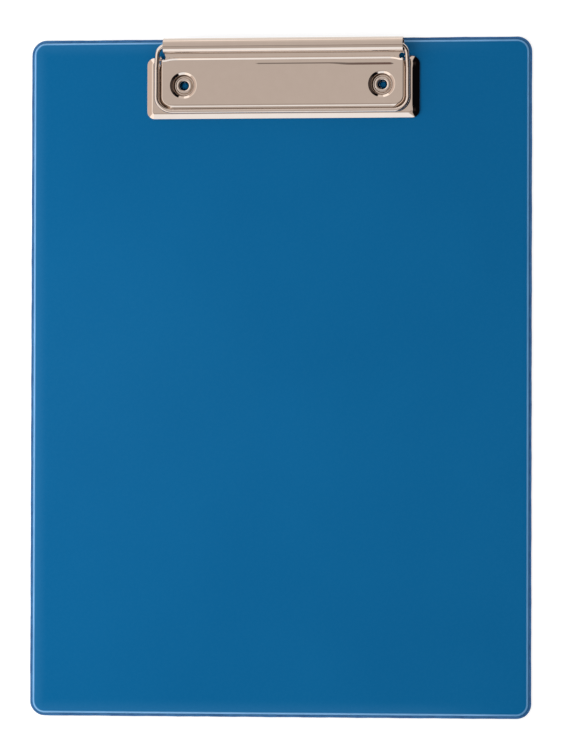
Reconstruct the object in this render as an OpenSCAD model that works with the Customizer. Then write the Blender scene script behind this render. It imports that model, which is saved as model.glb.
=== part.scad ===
// Clipboard: a greyboard sheet sealed in blue film, with a riveted wire clip.
//
// The board lies flat on its back, with the clip on its face at the +Y end.
// The origin is on the back, at the middle of the board, with +Z up.
//
// A pressed nickel-plated clip plate is riveted through the board. The plate has
// a raised panel with a ledge round it and, along its back, a rolled spine. A wire
// bail turns in the spine: shut, it lies in the ledge and presses paper on it, and
// open, it swings over the board's top edge.

/* [Board] */
// Width of the board over the welded seam
board_w = 235; // [180:1:330]
// Length of the board over the welded seam
board_l = 315; // [120:1:450]
// Outer corner radius of the board
corner_r = 7; // [4:0.5:20]
// Thickness of the greyboard core
core_t = 2.0; // [1.8:0.1:4]
// Thickness of each film
film_t = 0.35; // [0.2:0.05:0.5]
// Width of the welded seam round the board
seam_w = 1.2; // [0.8:0.1:2]
// Radius where each film turns over the edge of the core
shoulder_r = 0.8; // [0.6:0.1:1]

/* [Clip plate] */
// Distance from the board's top edge to the back of the spine
clip_inset = 0.1; // [0:0.1:30]
// Sideways offset of the clip from the middle of the board
clip_offset = 1.5; // [-5:0.1:5]
// Thickness of the clip plate's sheet
sheet_t = 0.7; // [0.4:0.05:0.9]
// Length of the clip plate, from its front rim to the back of its side ledges
plate_l = 28.4; // [26:0.1:36]
// Outer corner radius of the clip plate
plate_r = 3.5; // [2.8:0.1:5]
// Slope of the rim, from the board up to the ledge
rim_angle = 30; // [27:1:45]
// Height of the ledge's top face above the board
ledge_h = 2.2; // [1.6:0.1:2.4]
// Slope of the step, from the ledge up to the panel
step_angle = 50; // [40:1:70]
// Height of the raised panel's top face above the board
panel_h = 4.0; // [3.4:0.1:4.6]
// Width of the raised panel
panel_w = 113.4; // [100:0.2:136]
// Distance from each side rim to the raised panel
side_setback = 7.2; // [6.8:0.1:10]
// Distance from the front rim to the raised panel
panel_setback = 6.1; // [5.6:0.1:8]
// Corner radius of the raised panel
panel_r = 4.0; // [3:0.1:6]

/* [Spine] */
// Outside diameter of the rolled spine
spine_d = 7.0; // [5.6:0.1:9]
// Distance from each side of the raised panel to the end of the spine, before its offset
spine_inset = 0.6; // [0.4:0.1:8]
// Sideways offset of the spine from the middle of the clip plate
spine_offset = 1.0; // [-1.2:0.1:1.2]
// Distance from the spine's axis to the back of the side ledges
neck_l = 5.2; // [4.6:0.1:8]
// Height of the neck's top face above the panel
neck_rise = 0.6; // [0.2:0.1:1]
// Slope between the panel and the neck
neck_angle = 28; // [20:1:45]
// Flat of the panel left beside the neck
neck_margin = 0.3; // [0.2:0.05:0.5]
// Distance from the back of the side ledges to the foot of the neck's slope
neck_foot = 2.2; // [2:0.1:3]
// Radius of the relief notch at each end of the neck
notch_r = 1.4; // [0.8:0.1:2]
// Distance from the side of the raised panel in to the middle of each notch
notch_inset = 0.6; // [0:0.1:1]
// Gap between the roll's free edge and the neck
lip_gap = 0.3; // [0.2:0.05:0.8]

/* [Rivets] */
// Distance from each side of the raised panel to the rivet there
rivet_inset = 10.2; // [8:0.1:30]
// Distance from the front rim to the rivets
rivet_setback = 15.4; // [14:0.1:16]
// Diameter of each cup at the top
cup_top_d = 12.5; // [11:0.1:13]
// Diameter of each cup at its floor
cup_floor_d = 8.9; // [8.4:0.1:9.4]
// Outside diameter of the rivet's shank
shank_d = 4.8; // [4:0.1:5.4]
// Diameter of the bore through the rivet
rivet_bore_d = 3.5; // [2.4:0.1:3.8]
// Diameter of the rivet's rolled collar
collar_d = 7.9; // [7:0.1:8.2]
// Height of the rolled collar
collar_h = 1.1; // [0.8:0.1:1.4]
// Diameter of the rivet's back flange
flange_d = 9.0; // [7:0.1:11]
// Thickness of the rivet's back flange
flange_t = 0.5; // [0.3:0.05:0.7]
// Clearance round the rivet's shank and flange
rivet_clear = 0.05; // [0.02:0.01:0.1]

/* [Wire bail] */
// Diameter of the wire
wire_d = 2.1; // [1.6:0.1:2.2]
// Distance from the step's foot at the side to the centre line of each arm, before the offset
arm_margin = 1.14; // [1.1:0.02:1.6]
// Distance from the step's foot in front to the centre line of the front run
run_margin = 0.84; // [0.7:0.02:1.2]
// Distance from the step's foot to the centre line of the bail, across each corner
corner_margin = 0.6; // [0.5:0.02:0.9]
// Sideways offset of the bail in its spine
bail_offset = -0.5; // [-0.6:0.1:0.6]
// Gap between the bail and the ledge, with no paper in the clip
bail_gap = 0.15; // [0.1:0.05:0.4]
// Bend radius where each arm leaves the spine
spine_bend_r = 4.5; // [3:0.1:5]
// Distance from the spine's axis to where the arms become level
kink_reach = 10; // [8:0.5:14]
// Bend radius where the arms become level
kink_r = 5; // [3:0.5:8]
// Clearance between the bail's cranked ends and the bore of the spine
bail_clear = 0.08; // [0.02:0.01:0.1]
// Turn of each bend in the cranked ends
crank_angle = 30; // [24:1:40]
// Straight length between the two bends of a crank
crank_mid = 0.8; // [0.6:0.1:1]
// Straight length between each arm's bend and its crank
crank_lead = 8; // [4:1:16]
// Gap between the two ends of the wire inside the spine
end_gap = 6; // [2:1:20]
// How much the wire's radius draws down in a bend
bend_draw = 0.02; // [0.01:0.01:0.05]

/* [Hidden] */

// Smoothness of every arc
$fn = 96;
// How far one shape runs into the next where the two are joined
lap = 0.2;
// How far a cut runs past the face it breaks through
past = 1;

film_color = [0.03, 0.38, 0.60];
core_color = [0.60, 0.56, 0.50];
nickel_color = [0.73, 0.67, 0.61];
wire_color = [0.78, 0.72, 0.67];

// Board
seam_z = film_t + core_t / 2;
board_top = core_t + 2 * film_t;
wall_w = board_w - 2 * seam_w;
wall_l = board_l - 2 * seam_w;
wall_r = corner_r - seam_w;
core_w = wall_w - 2 * film_t;
core_l = wall_l - 2 * film_t;
core_r = wall_r - film_t;
edge_r = shoulder_r - film_t;

// Widths, heights and places on the clip plate
plate_w = panel_w + 2 * side_setback;
spine_w = panel_w - 2 * spine_inset;
rivet_spacing = panel_w - 2 * rivet_inset;
bore_r = spine_d / 2 - sheet_t;
spine_y = board_l / 2 - clip_inset - spine_d / 2;
neck_h = panel_h + neck_rise;
spine_z = board_top + neck_h - sheet_t + spine_d / 2;
plate_back_y = spine_y - neck_l;
plate_front_y = plate_back_y - plate_l;
plate_mid_y = (plate_back_y + plate_front_y) / 2;
rivet_y = plate_front_y + rivet_setback;

// Rim: how far its sloping underside reaches in, and the bend's shift on the top face
rim_run = (ledge_h - sheet_t) / tan(rim_angle);
rim_shift = sheet_t * tan(rim_angle / 2);

// Step: how far it reaches out, and the bend's shift on the underside
step_run = (panel_h - ledge_h) / tan(step_angle);
step_shift = sheet_t * tan(step_angle / 2);
step_w = panel_w + 2 * step_run;
step_r = panel_r + step_run;
panel_front_y = plate_front_y + panel_setback;
step_front_y = panel_front_y - step_run;
// The outlines of panel and step close well behind the plate, and are cut off at its back
panel_far_y = plate_back_y + 2 * step_r + past;

// Neck: how far its slope reaches back, and the bend's shift on the underside
neck_run = neck_rise / tan(neck_angle);
neck_shift = sheet_t * tan(neck_angle / 2);
neck_foot_y = plate_back_y - neck_foot;

// Cup: the bend's shift on its outer face
cup_rise = panel_h - sheet_t;
cup_angle = atan(cup_rise / ((cup_top_d - cup_floor_d) / 2));
cup_shift = sheet_t * tan(cup_angle / 2);
cup_hole_r = shank_d / 2 + rivet_clear;

// Roll: how far its free edge turns below the level of the spine's axis
lip_angle = asin((bore_r - lip_gap) / (spine_d / 2));

// Bail: it runs round the foot of the step
wire_r = wire_d / 2;
bail_w = step_w + 2 * arm_margin;
bail_z = board_top + ledge_h + bail_gap + wire_r;
bail_front_y = step_front_y - run_margin;
left_bend_r = corner_bend_r(arm_margin - bail_offset);
right_bend_r = corner_bend_r(arm_margin + bail_offset);
kink_angle = atan((spine_z - bail_z) / kink_reach);
kink_tangent = kink_r * tan(kink_angle / 2);
incline_l = norm([kink_reach, spine_z - bail_z]) - spine_bend_r - kink_tangent;
crank_offset = bore_r - bail_clear - wire_r;
crank_r = (crank_offset - crank_mid * sin(crank_angle)) / (2 * (1 - cos(crank_angle)));
crank_span = 2 * crank_r * sin(crank_angle) + crank_mid * cos(crank_angle);

// Rounded rectangle, centred
module rounded_rect(w, l, r) {
    square([w - 2 * r, l], center = true);
    square([w, l - 2 * r], center = true);
    for (x = [-1, 1], y = [-1, 1])
        translate([x * (w / 2 - r), y * (l / 2 - r)])
            circle(r = r);
}

// Sweeps a profile round a rounded rectangle. In the profile, x points outwards
// from the outline and y points up.
module frame_sweep(w, l, r) {
    for (side = [0, 1, 2, 3]) {
        reach = side % 2 == 0 ? [w / 2, l / 2] : [l / 2, w / 2];
        rotate([0, 0, 90 * side]) {
            translate([reach.x, 0, 0])
                rotate([90, 0, 0])
                    linear_extrude(2 * (reach.y - r), center = true)
                        children();
            translate([reach.x - r, reach.y - r, 0])
                rotate_extrude(angle = 90)
                    translate([r, 0])
                        children();
        }
    }
}

// Moves what is drawn about the clip's own middle to its place across the board
module at_clip() {
    translate([clip_offset, 0, 0])
        children();
}

module at_rivet(side) {
    translate([side * rivet_spacing / 2, rivet_y, 0])
        children();
}

module at_rivets() {
    for (side = [-1, 1])
        at_rivet(side)
            children();
}

// Section of a film at the board's edge: seam, wall and shoulder, for the front film
module film_edge_profile() {
    shoulder_z = board_top - shoulder_r;
    translate([-film_t, seam_z])
        square([film_t + seam_w, film_t]);
    translate([-film_t, seam_z])
        square([film_t, shoulder_z - seam_z]);
    translate([-shoulder_r, shoulder_z])
        intersection() {
            difference() {
                circle(r = shoulder_r);
                circle(r = edge_r);
            }
            square(shoulder_r);
        }
}

// A film laid over the core: flat face and edge, for the front film
module film_shell() {
    frame_sweep(wall_w, wall_l, wall_r)
        film_edge_profile();
    translate([0, 0, board_top - film_t])
        linear_extrude(film_t)
            rounded_rect(wall_w - 2 * shoulder_r, wall_l - 2 * shoulder_r, wall_r - shoulder_r);
}

module front_film() {
    color(film_color)
        difference() {
            film_shell();
            at_clip()
                at_rivets()
                    cylinder(h = board_top + past, r = cup_hole_r);
        }
}

module back_film() {
    dimple_r = flange_d / 2 + rivet_clear;
    color(film_color)
        difference() {
            union() {
                translate([0, 0, board_top])
                    mirror([0, 0, 1])
                        film_shell();
                // Film pressed in round each back flange
                at_clip()
                    at_rivets()
                        cylinder(h = flange_t + film_t, r = dimple_r + film_t);
            }
            at_clip()
                at_rivets() {
                    translate([0, 0, -past])
                        cylinder(h = flange_t + past, r = dimple_r);
                    cylinder(h = board_top, r = cup_hole_r);
                }
        }
}

module board_core() {
    color(core_color)
        difference() {
            union() {
                translate([0, 0, film_t + edge_r])
                    linear_extrude(core_t - 2 * edge_r)
                        rounded_rect(core_w, core_l, core_r);
                translate([0, 0, film_t])
                    linear_extrude(core_t)
                        rounded_rect(core_w - 2 * edge_r, core_l - 2 * edge_r, core_r - edge_r);
                frame_sweep(core_w, core_l, core_r)
                    for (z = [film_t + edge_r, film_t + core_t - edge_r])
                        translate([-edge_r, z])
                            circle(r = edge_r);
            }
            at_clip()
                at_rivets() {
                    cylinder(h = board_top, r = cup_hole_r);
                    cylinder(h = flange_t + film_t, r = flange_d / 2 + rivet_clear + film_t);
                }
        }
}

// Outline of the raised panel or of its step, running on behind the plate
module panel_outline(w, front_y, r) {
    translate([0, (front_y + panel_far_y) / 2])
        rounded_rect(w, panel_far_y - front_y, r);
}

// Rim: the sheet slopes down from the ledge and stands on the board
module rim() {
    translate([0, plate_mid_y, board_top])
        frame_sweep(plate_w, plate_l, plate_r)
            polygon([
                [0, 0],
                [0, sheet_t / cos(rim_angle)],
                [rim_shift - rim_run, ledge_h],
                [-rim_run - lap, ledge_h],
                [-rim_run - lap, ledge_h - sheet_t],
                [-rim_run, ledge_h - sheet_t]
            ]);
}

// Ledge: the flat between the rim and the step, all round the panel
module ledge() {
    translate([0, 0, board_top + ledge_h - sheet_t])
        linear_extrude(sheet_t)
            difference() {
                translate([0, plate_mid_y])
                    rounded_rect(plate_w - 2 * rim_run, plate_l - 2 * rim_run, plate_r - rim_run);
                panel_outline(step_w - 2 * lap - 2 * step_shift,
                              step_front_y + lap + step_shift,
                              step_r - lap - step_shift);
            }
}

// Step: the sheet rises from the ledge to the panel
module step() {
    translate([0, (step_front_y + panel_far_y) / 2, board_top])
        frame_sweep(step_w, panel_far_y - step_front_y, step_r)
            polygon([
                [lap, ledge_h - sheet_t],
                [lap, ledge_h],
                [0, ledge_h],
                [-step_run, panel_h],
                [-step_run - step_shift - lap, panel_h],
                [-step_run - step_shift - lap, panel_h - sheet_t],
                [-step_run - step_shift, panel_h - sheet_t],
                [-step_shift, ledge_h - sheet_t]
            ]);
}

module panel() {
    translate([0, 0, board_top + panel_h - sheet_t])
        linear_extrude(sheet_t)
            difference() {
                panel_outline(panel_w - 2 * step_shift, panel_front_y + step_shift, panel_r - step_shift);
                translate([-panel_w / 2, neck_foot_y])
                    square([panel_w, panel_far_y]);
                for (side = [-1, 1])
                    translate([side * rivet_spacing / 2, rivet_y])
                        circle(r = cup_top_d / 2 + lap);
            }
}

// Cup: the panel pressed down to the board, where the rivet sits
module cup() {
    floor_r = cup_floor_d / 2;
    top_r = cup_top_d / 2;
    translate([0, 0, board_top])
        rotate_extrude()
            polygon([
                [cup_hole_r, 0],
                [floor_r + cup_shift, 0],
                [top_r + cup_shift, panel_h - sheet_t],
                [top_r + cup_shift + lap, panel_h - sheet_t],
                [top_r + cup_shift + lap, panel_h],
                [top_r, panel_h],
                [floor_r, sheet_t],
                [cup_hole_r, sheet_t]
            ]);
}

// Neck: the sheet slopes up from the panel and runs back to the spine
module neck() {
    flat_y = neck_foot_y + neck_run;
    rotate([90, 0, 90])
        translate([0, board_top]) {
            linear_extrude(panel_w - 2 * neck_margin, center = true)
                polygon([
                    [neck_foot_y - lap, panel_h - sheet_t],
                    [neck_foot_y - lap, panel_h],
                    [neck_foot_y, panel_h],
                    [flat_y, neck_h],
                    [plate_back_y, neck_h],
                    [plate_back_y, neck_h - sheet_t],
                    [flat_y + neck_shift, neck_h - sheet_t],
                    [neck_foot_y + neck_shift, panel_h - sheet_t]
                ]);
            translate([0, 0, spine_offset])
                linear_extrude(spine_w, center = true)
                    translate([plate_back_y - lap, neck_h - sheet_t])
                        square([neck_l + lap, sheet_t]);
        }
}

// Spine: the sheet rolls up from the neck, back and over, to a free edge in front
module spine() {
    translate([spine_offset, spine_y, spine_z])
        rotate([90, 0, 90])
            linear_extrude(spine_w, center = true)
                difference() {
                    circle(r = spine_d / 2);
                    circle(r = bore_r);
                    // Open between the free edge and the neck
                    polygon([
                        [0, 0],
                        [-spine_d * cos(lip_angle), -spine_d * sin(lip_angle)],
                        [-spine_d, -spine_d],
                        [0, -spine_d]
                    ]);
                }
}

// Everything of the step that would run on behind the side ledges
module behind_plate() {
    translate([-plate_w / 2, plate_back_y, 0])
        cube([plate_w, panel_far_y, spine_z]);
}

// Under the neck, the rim and the ledge's back edge are open across the panel
module neck_opening() {
    translate([-panel_w / 2, plate_back_y - rim_run - lap, 0])
        cube([panel_w, rim_run + lap + past, board_top + panel_h - sheet_t]);
}

// Relief at each end of the neck, through neck, step and ledge
module notches() {
    for (side = [-1, 1])
        translate([side * (panel_w / 2 - notch_inset), plate_back_y, 0])
            cylinder(h = spine_z, r = notch_r);
}

module clip_plate() {
    color(nickel_color)
        at_clip()
            difference() {
                union() {
                    difference() {
                        union() {
                            rim();
                            ledge();
                        }
                        neck_opening();
                    }
                    difference() {
                        step();
                        behind_plate();
                    }
                    panel();
                    neck();
                    spine();
                    at_rivets()
                        cup();
                }
                notches();
            }
}

// Straight length of wire, with what follows at its far end
module straight(length) {
    cylinder(h = length, r = wire_r);
    translate([0, 0, length])
        children();
}

// Bend in the wire, with what follows at its far end. turn first rolls the bend's
// plane about the wire. The drawn-down wire of the bend runs into both straights.
module bend(radius, angle, turn) {
    lap_angle = lap / radius * 180 / PI;
    rotate([0, 0, turn]) {
        translate([radius, 0, 0])
            rotate([90, 0, 0])
                rotate([0, 0, 180 - angle - lap_angle])
                    rotate_extrude(angle = angle + 2 * lap_angle)
                        translate([radius, 0])
                            circle(r = wire_r - bend_draw);
        translate([radius, 0, 0])
            rotate([0, angle, 0])
                translate([-radius, 0, 0])
                    children();
    }
}

// Wire along a path of legs: [length] is a straight, [radius, angle, turn] a bend
module wire(path, i = 0) {
    if (i < len(path)) {
        leg = path[i];
        if (len(leg) == 1)
            straight(leg[0])
                wire(path, i + 1);
        else
            bend(leg[0], leg[1], leg[2])
                wire(path, i + 1);
    }
}

// Bend radius of a corner that clears the step's corner by corner_margin, for an arm
// at a given distance from the step's foot
function corner_bend_r(arm_gap) =
    step_r + ((arm_gap + run_margin) / sqrt(2) - corner_margin) / (sqrt(2) - 1);

// Straight of a cranked end, for an arm at a given distance from the middle
function end_l(arm_x) = arm_x - spine_bend_r - crank_lead - crank_span - end_gap / 2;

// Level straight of an arm, for a given corner radius
function level_l(corner_bend_r) =
    spine_y - kink_reach - bail_front_y - kink_tangent - corner_bend_r;

// The bail in one piece of wire, from its left end inside the spine round to its
// right end. The two cranked ends bear on opposite sides of the bore.
module wire_bail() {
    path = [
        [end_l(bail_w / 2 - bail_offset)],
        [crank_r, crank_angle, 0],
        [crank_mid],
        [crank_r, crank_angle, 180],
        [crank_lead],
        [spine_bend_r, 90, 90 - kink_angle],
        [incline_l],
        [kink_r, kink_angle, 90],
        [level_l(left_bend_r)],
        [left_bend_r, 90, -90],
        [bail_w - left_bend_r - right_bend_r],
        [right_bend_r, 90, 0],
        [level_l(right_bend_r)],
        [kink_r, kink_angle, 90],
        [incline_l],
        [spine_bend_r, 90, -90],
        [crank_lead],
        [crank_r, crank_angle, 90 + kink_angle],
        [crank_mid],
        [crank_r, crank_angle, 180],
        [end_l(bail_w / 2 + bail_offset)]
    ];
    color(wire_color)
        at_clip()
            translate([-end_gap / 2, spine_y, spine_z - crank_offset])
                rotate([0, -90, 0])
                    wire(path);
}

// Tubular rivet: flat flange at the back, rolled collar in the cup
module rivet() {
    collar_r = collar_d / 2;
    bore = rivet_bore_d / 2;
    collar_z = board_top + sheet_t;
    roll_r = collar_h / 2;
    mouth_r = collar_r - 2 * roll_r;
    rotate_extrude() {
        translate([bore, 0])
            square([flange_d / 2 - bore, flange_t]);
        translate([bore, 0])
            square([shank_d / 2 - bore, collar_z]);
        // Rolled collar, with a funnel down to the bore
        polygon([
            [bore, collar_z - roll_r],
            [shank_d / 2, collar_z - roll_r],
            [shank_d / 2, collar_z],
            [collar_r - roll_r, collar_z],
            [collar_r - roll_r, collar_z + collar_h],
            [mouth_r, collar_z + roll_r]
        ]);
        translate([collar_r - roll_r, collar_z + roll_r])
            circle(r = roll_r);
    }
}

module rivet_left() {
    color(nickel_color)
        at_clip()
            at_rivet(-1)
                rivet();
}

module rivet_right() {
    color(nickel_color)
        at_clip()
            at_rivet(1)
                rivet();
}

// Slug of film and board that the rivet cut out and holds in its bore
module slug() {
    translate([0, 0, flange_t])
        cylinder(h = board_top - flange_t, r = rivet_bore_d / 2);
}

module slug_left() {
    color(film_color)
        at_clip()
            at_rivet(-1)
                slug();
}

module slug_right() {
    color(film_color)
        at_clip()
            at_rivet(1)
                slug();
}

front_film();
back_film();
board_core();
clip_plate();
wire_bail();
rivet_left();
rivet_right();
slug_left();
slug_right();
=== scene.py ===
"""Clipboard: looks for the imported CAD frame. Lengths are in metres, in the CAD's frame."""
import math

import bmesh
import bpy
from mathutils import Matrix, Vector
from mathutils.geometry import delaunay_2d_cdt


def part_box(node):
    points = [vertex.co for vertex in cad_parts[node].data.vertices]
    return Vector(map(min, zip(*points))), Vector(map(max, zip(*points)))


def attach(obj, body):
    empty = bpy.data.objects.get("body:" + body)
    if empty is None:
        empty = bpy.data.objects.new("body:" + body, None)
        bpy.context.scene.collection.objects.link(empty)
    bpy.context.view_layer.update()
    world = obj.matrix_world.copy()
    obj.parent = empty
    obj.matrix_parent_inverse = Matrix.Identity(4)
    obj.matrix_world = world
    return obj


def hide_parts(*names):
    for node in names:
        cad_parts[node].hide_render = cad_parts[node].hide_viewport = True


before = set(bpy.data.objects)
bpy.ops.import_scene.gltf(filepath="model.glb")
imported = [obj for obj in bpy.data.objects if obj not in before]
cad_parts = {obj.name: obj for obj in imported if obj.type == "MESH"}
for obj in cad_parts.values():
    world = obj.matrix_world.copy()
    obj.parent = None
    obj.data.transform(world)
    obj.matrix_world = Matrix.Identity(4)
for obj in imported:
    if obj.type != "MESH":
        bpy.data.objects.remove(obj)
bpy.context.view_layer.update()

MM = 0.001
UP = Vector((0, 0, 1))

# ---------------------------------------------------------------- places, from the frame
BOARD_LO, BOARD_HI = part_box("front_film")
PLATE_LO, PLATE_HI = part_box("clip_plate")
BAIL_LO, BAIL_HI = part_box("wire_bail")
RIVET_BOXES = {side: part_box(f"rivet_{side}") for side in ("left", "right")}

BOARD_W = BOARD_HI.x - BOARD_LO.x
BOARD_L = BOARD_HI.y - BOARD_LO.y
BOARD_TOP = BOARD_HI.z
SEAM_Z = BOARD_LO.z
RIVETS = {side: (lo + hi) / 2 for side, (lo, hi) in RIVET_BOXES.items()}
CLIP_X = (PLATE_LO.x + PLATE_HI.x) / 2

# ---------------------------------------------------------------- sizes, as in the CAD
FILM_T = 0.35 * MM
SEAM_W = 1.2 * MM
CORNER_R = 7.0 * MM
SHOULDER_R = 0.8 * MM

SHEET_T = 0.7 * MM
PLATE_W = PLATE_HI.x - PLATE_LO.x
PLATE_L = 28.4 * MM
PLATE_R = 3.5 * MM
RIM_ANGLE = math.radians(30)
LEDGE_H = 2.2 * MM
STEP_ANGLE = math.radians(50)
PANEL_H = 4.0 * MM
PANEL_W = PLATE_W - 2 * 7.2 * MM
PANEL_SETBACK = 6.1 * MM
PANEL_R = 4.0 * MM

SPINE_D = 7.0 * MM
SPINE_W = PANEL_W - 2 * 0.6 * MM
SPINE_OFFSET = 1.0 * MM
NECK_L = 5.2 * MM
NECK_RISE = 0.6 * MM
NECK_FOOT = 2.2 * MM
NOTCH_R = 1.4 * MM
NOTCH_INSET = 0.6 * MM
LIP_GAP = 0.3 * MM

CUP_TOP_R = 12.5 * MM / 2
CUP_FLOOR_R = 8.9 * MM / 2
CUP_HOLE_R = 4.9 * MM / 2

SHANK_D = 4.8 * MM
RIVET_BORE_D = 3.5 * MM
COLLAR_D = 7.9 * MM
COLLAR_H = 1.1 * MM
FLANGE_T = 0.5 * MM
FLANGE_HOLE_R = 9.1 * MM / 2

WIRE_R = 1.05 * MM
BAIL_CLEAR = 0.08 * MM
SPINE_BEND_R = 4.5 * MM
KINK_REACH = 10 * MM
KINK_R = 5 * MM
CRANK_ANGLE = math.radians(30)
CRANK_MID = 0.8 * MM
CRANK_LEAD = 8 * MM
END_GAP = 6 * MM
CORNER_MARGIN = 0.6 * MM

# ---------------------------------------------------------------- places worked out
BORE_R = SPINE_D / 2 - SHEET_T
SPINE_Y = PLATE_HI.y - SPINE_D / 2
SPINE_Z = PLATE_HI.z - SPINE_D / 2
PLATE_BACK_Y = SPINE_Y - NECK_L
PLATE_FRONT_Y = PLATE_LO.y
PLATE_MID_Y = (PLATE_FRONT_Y + PLATE_BACK_Y) / 2
RIM_RUN = (LEDGE_H - SHEET_T) / math.tan(RIM_ANGLE)
RIM_SHIFT = SHEET_T * math.tan(RIM_ANGLE / 2)
RIM_TOP_RUN = RIM_RUN - RIM_SHIFT
RIM_EDGE_H = LEDGE_H - RIM_TOP_RUN * math.tan(RIM_ANGLE)
STEP_RUN = (PANEL_H - LEDGE_H) / math.tan(STEP_ANGLE)
PANEL_FRONT_Y = PLATE_FRONT_Y + PANEL_SETBACK
# The drawn sheet flows a little past the step's sharp corners at its top and foot
STEP_FLOW_TOP = 0.15 * MM
STEP_FLOW_FOOT = 0.11 * MM
DRAWN_RUN = STEP_RUN + STEP_FLOW_TOP + STEP_FLOW_FOOT
NECK_FOOT_Y = PLATE_BACK_Y - NECK_FOOT
LIP_ANGLE = math.asin((BORE_R - LIP_GAP) / (SPINE_D / 2))
ROLL_END = 1.5 * math.pi + LIP_ANGLE
SHEET_END = SPINE_Y + BORE_R * ROLL_END
PLATE_RECT = (PLATE_W, PLATE_L, PLATE_R, 0, PLATE_MID_Y)
STRIP_L, STRIP_R = SPINE_OFFSET - SPINE_W / 2, SPINE_OFFSET + SPINE_W / 2
NOTCH_X = PANEL_W / 2 - NOTCH_INSET


# ================================================================ camera
# The camera was fitted to the board's four corners in the photograph: it stands a little
# to the right of the board's middle and looks almost straight down on it.
SENSOR = 36.0
LENS = 288.0
CAMERA_BACK = Vector((0.15145651, -0.02047506, 0.98825184))
CAMERA_TARGET = Vector((0.71 * MM, 1.16 * MM, BOARD_TOP))
CAMERA_DISTANCE = 2.7824
CAMERA_ROLL = math.radians(0.145)


def make_camera():
    data = bpy.data.cameras.new("camera")
    data.lens = LENS
    data.sensor_width = SENSOR
    camera = bpy.data.objects.new("camera", data)
    bpy.context.scene.collection.objects.link(camera)
    up = (Vector((0, 1, 0)) - CAMERA_BACK * CAMERA_BACK.y).normalized()
    right = up.cross(CAMERA_BACK)
    cos_r, sin_r = math.cos(CAMERA_ROLL), math.sin(CAMERA_ROLL)
    turned_right = right * cos_r + up * sin_r
    turned_up = up * cos_r - right * sin_r
    turn = Matrix((turned_right, turned_up, CAMERA_BACK)).transposed()
    place = CAMERA_TARGET + CAMERA_BACK * CAMERA_DISTANCE
    camera.matrix_world = Matrix.Translation(place) @ turn.to_4x4()
    bpy.context.scene.camera = camera


# ================================================================ mesh helpers
def smooth_ramp(s, run, height, foot, top):
    """Height of a slope that rises over run, with rounded bends of half-width foot and top."""
    return height / run * (soft_corner(s, foot) - soft_corner(s - run, top))


def soft_corner(s, half):
    if s <= -half:
        return 0.0
    if s >= half:
        return s
    return (s + half) ** 2 / (4 * half)


def smooth_step(t):
    t = min(max(t, 0.0), 1.0)
    return t * t * (3 - 2 * t)


def arc(cx, cy, r, start, end, steps):
    """Points on an arc, with both ends, angles in radians."""
    turn = (end - start) / steps
    return [(cx + r * math.cos(start + i * turn), cy + r * math.sin(start + i * turn))
            for i in range(steps + 1)]


def circle(cx, cy, r, steps):
    """Points round a circle, without the first one again at the end."""
    turns = [2 * math.pi * i / steps for i in range(steps)]
    return [(cx + r * math.cos(a), cy + r * math.sin(a)) for a in turns]


def closed(ring):
    """Edges from each number of a ring to the next, and from the last to the first."""
    ring = list(ring)
    return list(zip(ring, ring[1:] + ring[:1]))


def band(near, far):
    """Faces between two rings of point numbers."""
    return [(a, b, d, c) for (a, b), (c, d) in zip(closed(near), closed(far))]


def triangles(coords, edges, holes, nearest):
    """Flat triangles between the points, with none in the round holes (x, y, radius)."""
    vectors = [Vector(p) for p in coords]
    points, _, tris, _, _, _ = delaunay_2d_cdt(vectors, edges, [], 1, nearest)
    kept = []
    for tri in tris:
        mx = sum(points[i].x for i in tri) / 3
        my = sum(points[i].y for i in tri) / 3
        if all(math.hypot(mx - cx, my - cy) > r * 0.999 for cx, cy, r in holes):
            kept.append(tuple(tri))
    return [(p.x, p.y) for p in points], kept


def line_points(a, b, pitch):
    """Points from a up to, but without, b, about pitch apart."""
    steps = max(1, round(math.dist(a, b) / pitch))
    return [(a[0] + (b[0] - a[0]) * i / steps, a[1] + (b[1] - a[1]) * i / steps)
            for i in range(steps)]


def rounded_rect(w, l, r, cx, cy, pitch, corner_steps):
    """Closed loop of points round a rounded rectangle, anticlockwise from the right side."""
    points = []
    for quarter in range(4):
        half_a, half_b = (l / 2, w / 2) if quarter % 2 else (w / 2, l / 2)
        turn = quarter * math.pi / 2
        local = line_points((half_a, -(half_b - r)), (half_a, half_b - r), pitch)
        local += arc(half_a - r, half_b - r, r, 0, math.pi / 2, corner_steps)[:-1]
        cos_t, sin_t = math.cos(turn), math.sin(turn)
        points += [(cx + x * cos_t - y * sin_t, cy + x * sin_t + y * cos_t) for x, y in local]
    return points


def rect_distance(x, y, w, l, r, cx, cy):
    """Distance in from a rounded rectangle's outline, negative outside."""
    qx = abs(x - cx) - (w / 2 - r)
    qy = abs(y - cy) - (l / 2 - r)
    outside = math.hypot(max(qx, 0.0), max(qy, 0.0))
    return r - outside - min(max(qx, qy), 0.0)


def new_piece(name, verts, faces, body, slot, material, corner_normals=None):
    """A mesh piece that rides on a CAD body. corner_normals, if given, go face by face."""
    mesh = bpy.data.meshes.new(name)
    mesh.from_pydata(verts, [], faces)
    mesh.update()
    mesh.shade_smooth()
    if corner_normals:
        mesh.normals_split_custom_set(corner_normals)
    mesh.materials.append(material)
    piece = bpy.data.objects.new(name, mesh)
    bpy.context.scene.collection.objects.link(piece)
    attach(piece, body)
    return piece


def lathe(profile, centre, steps):
    """A closed solid of revolution round a vertical axis. profile is a closed loop of (r, z)."""
    verts, faces = [], []
    count = len(profile)
    for i in range(steps):
        a = 2 * math.pi * i / steps
        verts += [(centre.x + r * math.cos(a), centre.y + r * math.sin(a), z)
                  for r, z in profile]
    for i in range(steps):
        here, there = i * count, (i + 1) % steps * count
        for k in range(count):
            nxt = (k + 1) % count
            faces.append((here + k, there + k, there + nxt, here + nxt))
    return verts, faces


# ================================================================ materials
# Sockets of a Mix node that blends colours
MIX_FACTOR, MIX_A, MIX_B, MIX_RESULT = 0, 6, 7, 2


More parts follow.
